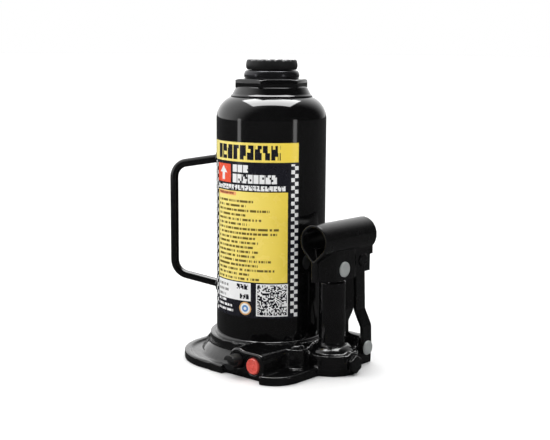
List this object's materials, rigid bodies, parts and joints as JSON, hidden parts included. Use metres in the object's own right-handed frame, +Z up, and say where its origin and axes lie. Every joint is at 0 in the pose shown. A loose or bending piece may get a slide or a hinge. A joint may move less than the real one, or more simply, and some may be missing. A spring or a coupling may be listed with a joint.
{
  "type": "hydraulic bottle jack",
  "caption": "Hydraulic bottle jack: upright oil tank on a cast base, ram with extension screw and saddle, lever pump with handle socket, release valve and carry handle.",
  "frame": {"origin": "axis of the lifting ram where it meets the floor, on the base's underside", "axes": "+Z up along the ram, towards the saddle; +X towards the pump; -Y out of the handle socket's mouth and the release valve"},
  "size_m": [0.1654, 0.1329, 0.23],
  "materials": {
    "cast_black": "thick gloss black enamel over rough casting",
    "gloss_black": "smooth gloss black enamel over drawn steel",
    "ram_finish": "ground steel, blackened and polished, oiled",
    "dark_steel": "satin black oxide",
    "bare_steel": "ground and oiled",
    "ball_steel": "polished",
    "zinc": "bright zinc plate",
    "rubber": "matt",
    "seal_polymer": "matt",
    "copper": "soft annealed",
    "brass_mesh": "woven wire",
    "red_plastic": "moulded, semi-gloss",
    "label_film": "printed film, semi-gloss"
  },
  "bodies": {
    "jack_body": {"base": "cast_black", "reservoir_tank": "gloss_black", "tank_gasket": "rubber", "pressure_cylinder": "bare_steel", "cylinder_gasket": "copper", "top_nut": "gloss_black", "top_nut_seal": "rubber", "ram_wiper": "rubber", "carry_handle": "gloss_black", "handle_welds": "cast_black", "label": "label_film", "pump_barrel": "gloss_black", "barrel_gasket": "copper", "barrel_gland": "rubber", "suction_plug": "cast_black", "oil_filter": "brass_mesh", "delivery_plug": "cast_black", "relief_ball": "ball_steel", "relief_spring": "bare_steel", "relief_screw": "bare_steel", "relief_cap": "red_plastic"},
    "filler": {"filler_plug": "rubber"},
    "lifting_ram": {"ram": "ram_finish", "piston_head": "bare_steel", "piston_seal": "seal_polymer", "piston_retainer": "bare_steel"},
    "screw_stop": {"screw_stop_ring": "bare_steel"},
    "extension": {"extension_screw": "dark_steel"},
    "plunger": {"pump_plunger": "bare_steel", "plunger_seal": "seal_polymer", "plunger_retainer": "bare_steel"},
    "link": {"link_plate_left": "gloss_black", "link_plate_right": "gloss_black", "link_base_pin": "zinc"},
    "socket": {"handle_socket": "gloss_black", "plunger_pin": "zinc", "link_top_pin": "dark_steel"},
    "suction_check": {"suction_ball": "ball_steel"},
    "delivery_check": {"delivery_ball": "ball_steel"},
    "release_check": {"release_ball": "ball_steel"},
    "release": {"release_screw": "dark_steel", "release_seal": "rubber"}
  },
  "joints": [
    {"name": "ram_slide", "type": "slide", "parent": "jack_body", "child": "lifting_ram", "axis": [0, 0, 1], "range_m": [0, 0.15]},
    {"name": "screw_rise", "type": "slide", "parent": "lifting_ram", "child": "screw_stop", "axis": [0, 0, 1], "range_m": [0, 0.08]},
    {"name": "screw_turn", "type": "hinge", "parent": "screw_stop", "child": "extension", "pos_m": [0, 0, 0.2], "axis": [0, 0, 1], "range_deg": [0, 7200]},
    {"name": "link_swing", "type": "hinge", "parent": "jack_body", "child": "link", "pos_m": [0.062, 0.028, 0.0136], "axis": [1, 0, 0], "range_deg": [0, 2]},
    {"name": "socket_tilt", "type": "hinge", "parent": "link", "child": "socket", "pos_m": [0.062, 0.025, 0.0816], "axis": [-1, 0, 0], "range_deg": [0, 40]},
    {"name": "plunger_stroke", "type": "slide", "parent": "jack_body", "child": "plunger", "axis": [0, 0, 1], "range_m": [0, 0.0162]},
    {"name": "suction_lift", "type": "slide", "parent": "jack_body", "child": "suction_check", "axis": [1, 0, 0], "range_m": [0, 0.001]},
    {"name": "delivery_lift", "type": "slide", "parent": "jack_body", "child": "delivery_check", "axis": [0, 0, 1], "range_m": [0, 0.001]},
    {"name": "release_open", "type": "slide", "parent": "jack_body", "child": "release_check", "axis": [0, -1, 0], "range_m": [0, 0.00225]},
    {"name": "release_turn", "type": "hinge", "parent": "release_check", "child": "release", "pos_m": [0.022, -0.06, 0.012], "axis": [0, -1, 0], "range_deg": [0, 540]},
    {"name": "filler_pull", "type": "slide", "parent": "jack_body", "child": "filler", "axis": [-0.1736, 0.9848, 0], "range_m": [0, 0.012]}
  ],
  "couplings": [
    {"joint": "screw_rise", "follows": "screw_turn", "m_per_rad": 0.00063662},
    {"joint": "link_swing", "follows": "socket_tilt", "ratio": 0.0495},
    {"joint": "plunger_stroke", "follows": "socket_tilt", "m_per_rad": 0.02313},
    {"joint": "release_turn", "follows": "release_open", "rad_per_m": 4188.8}
  ]
}
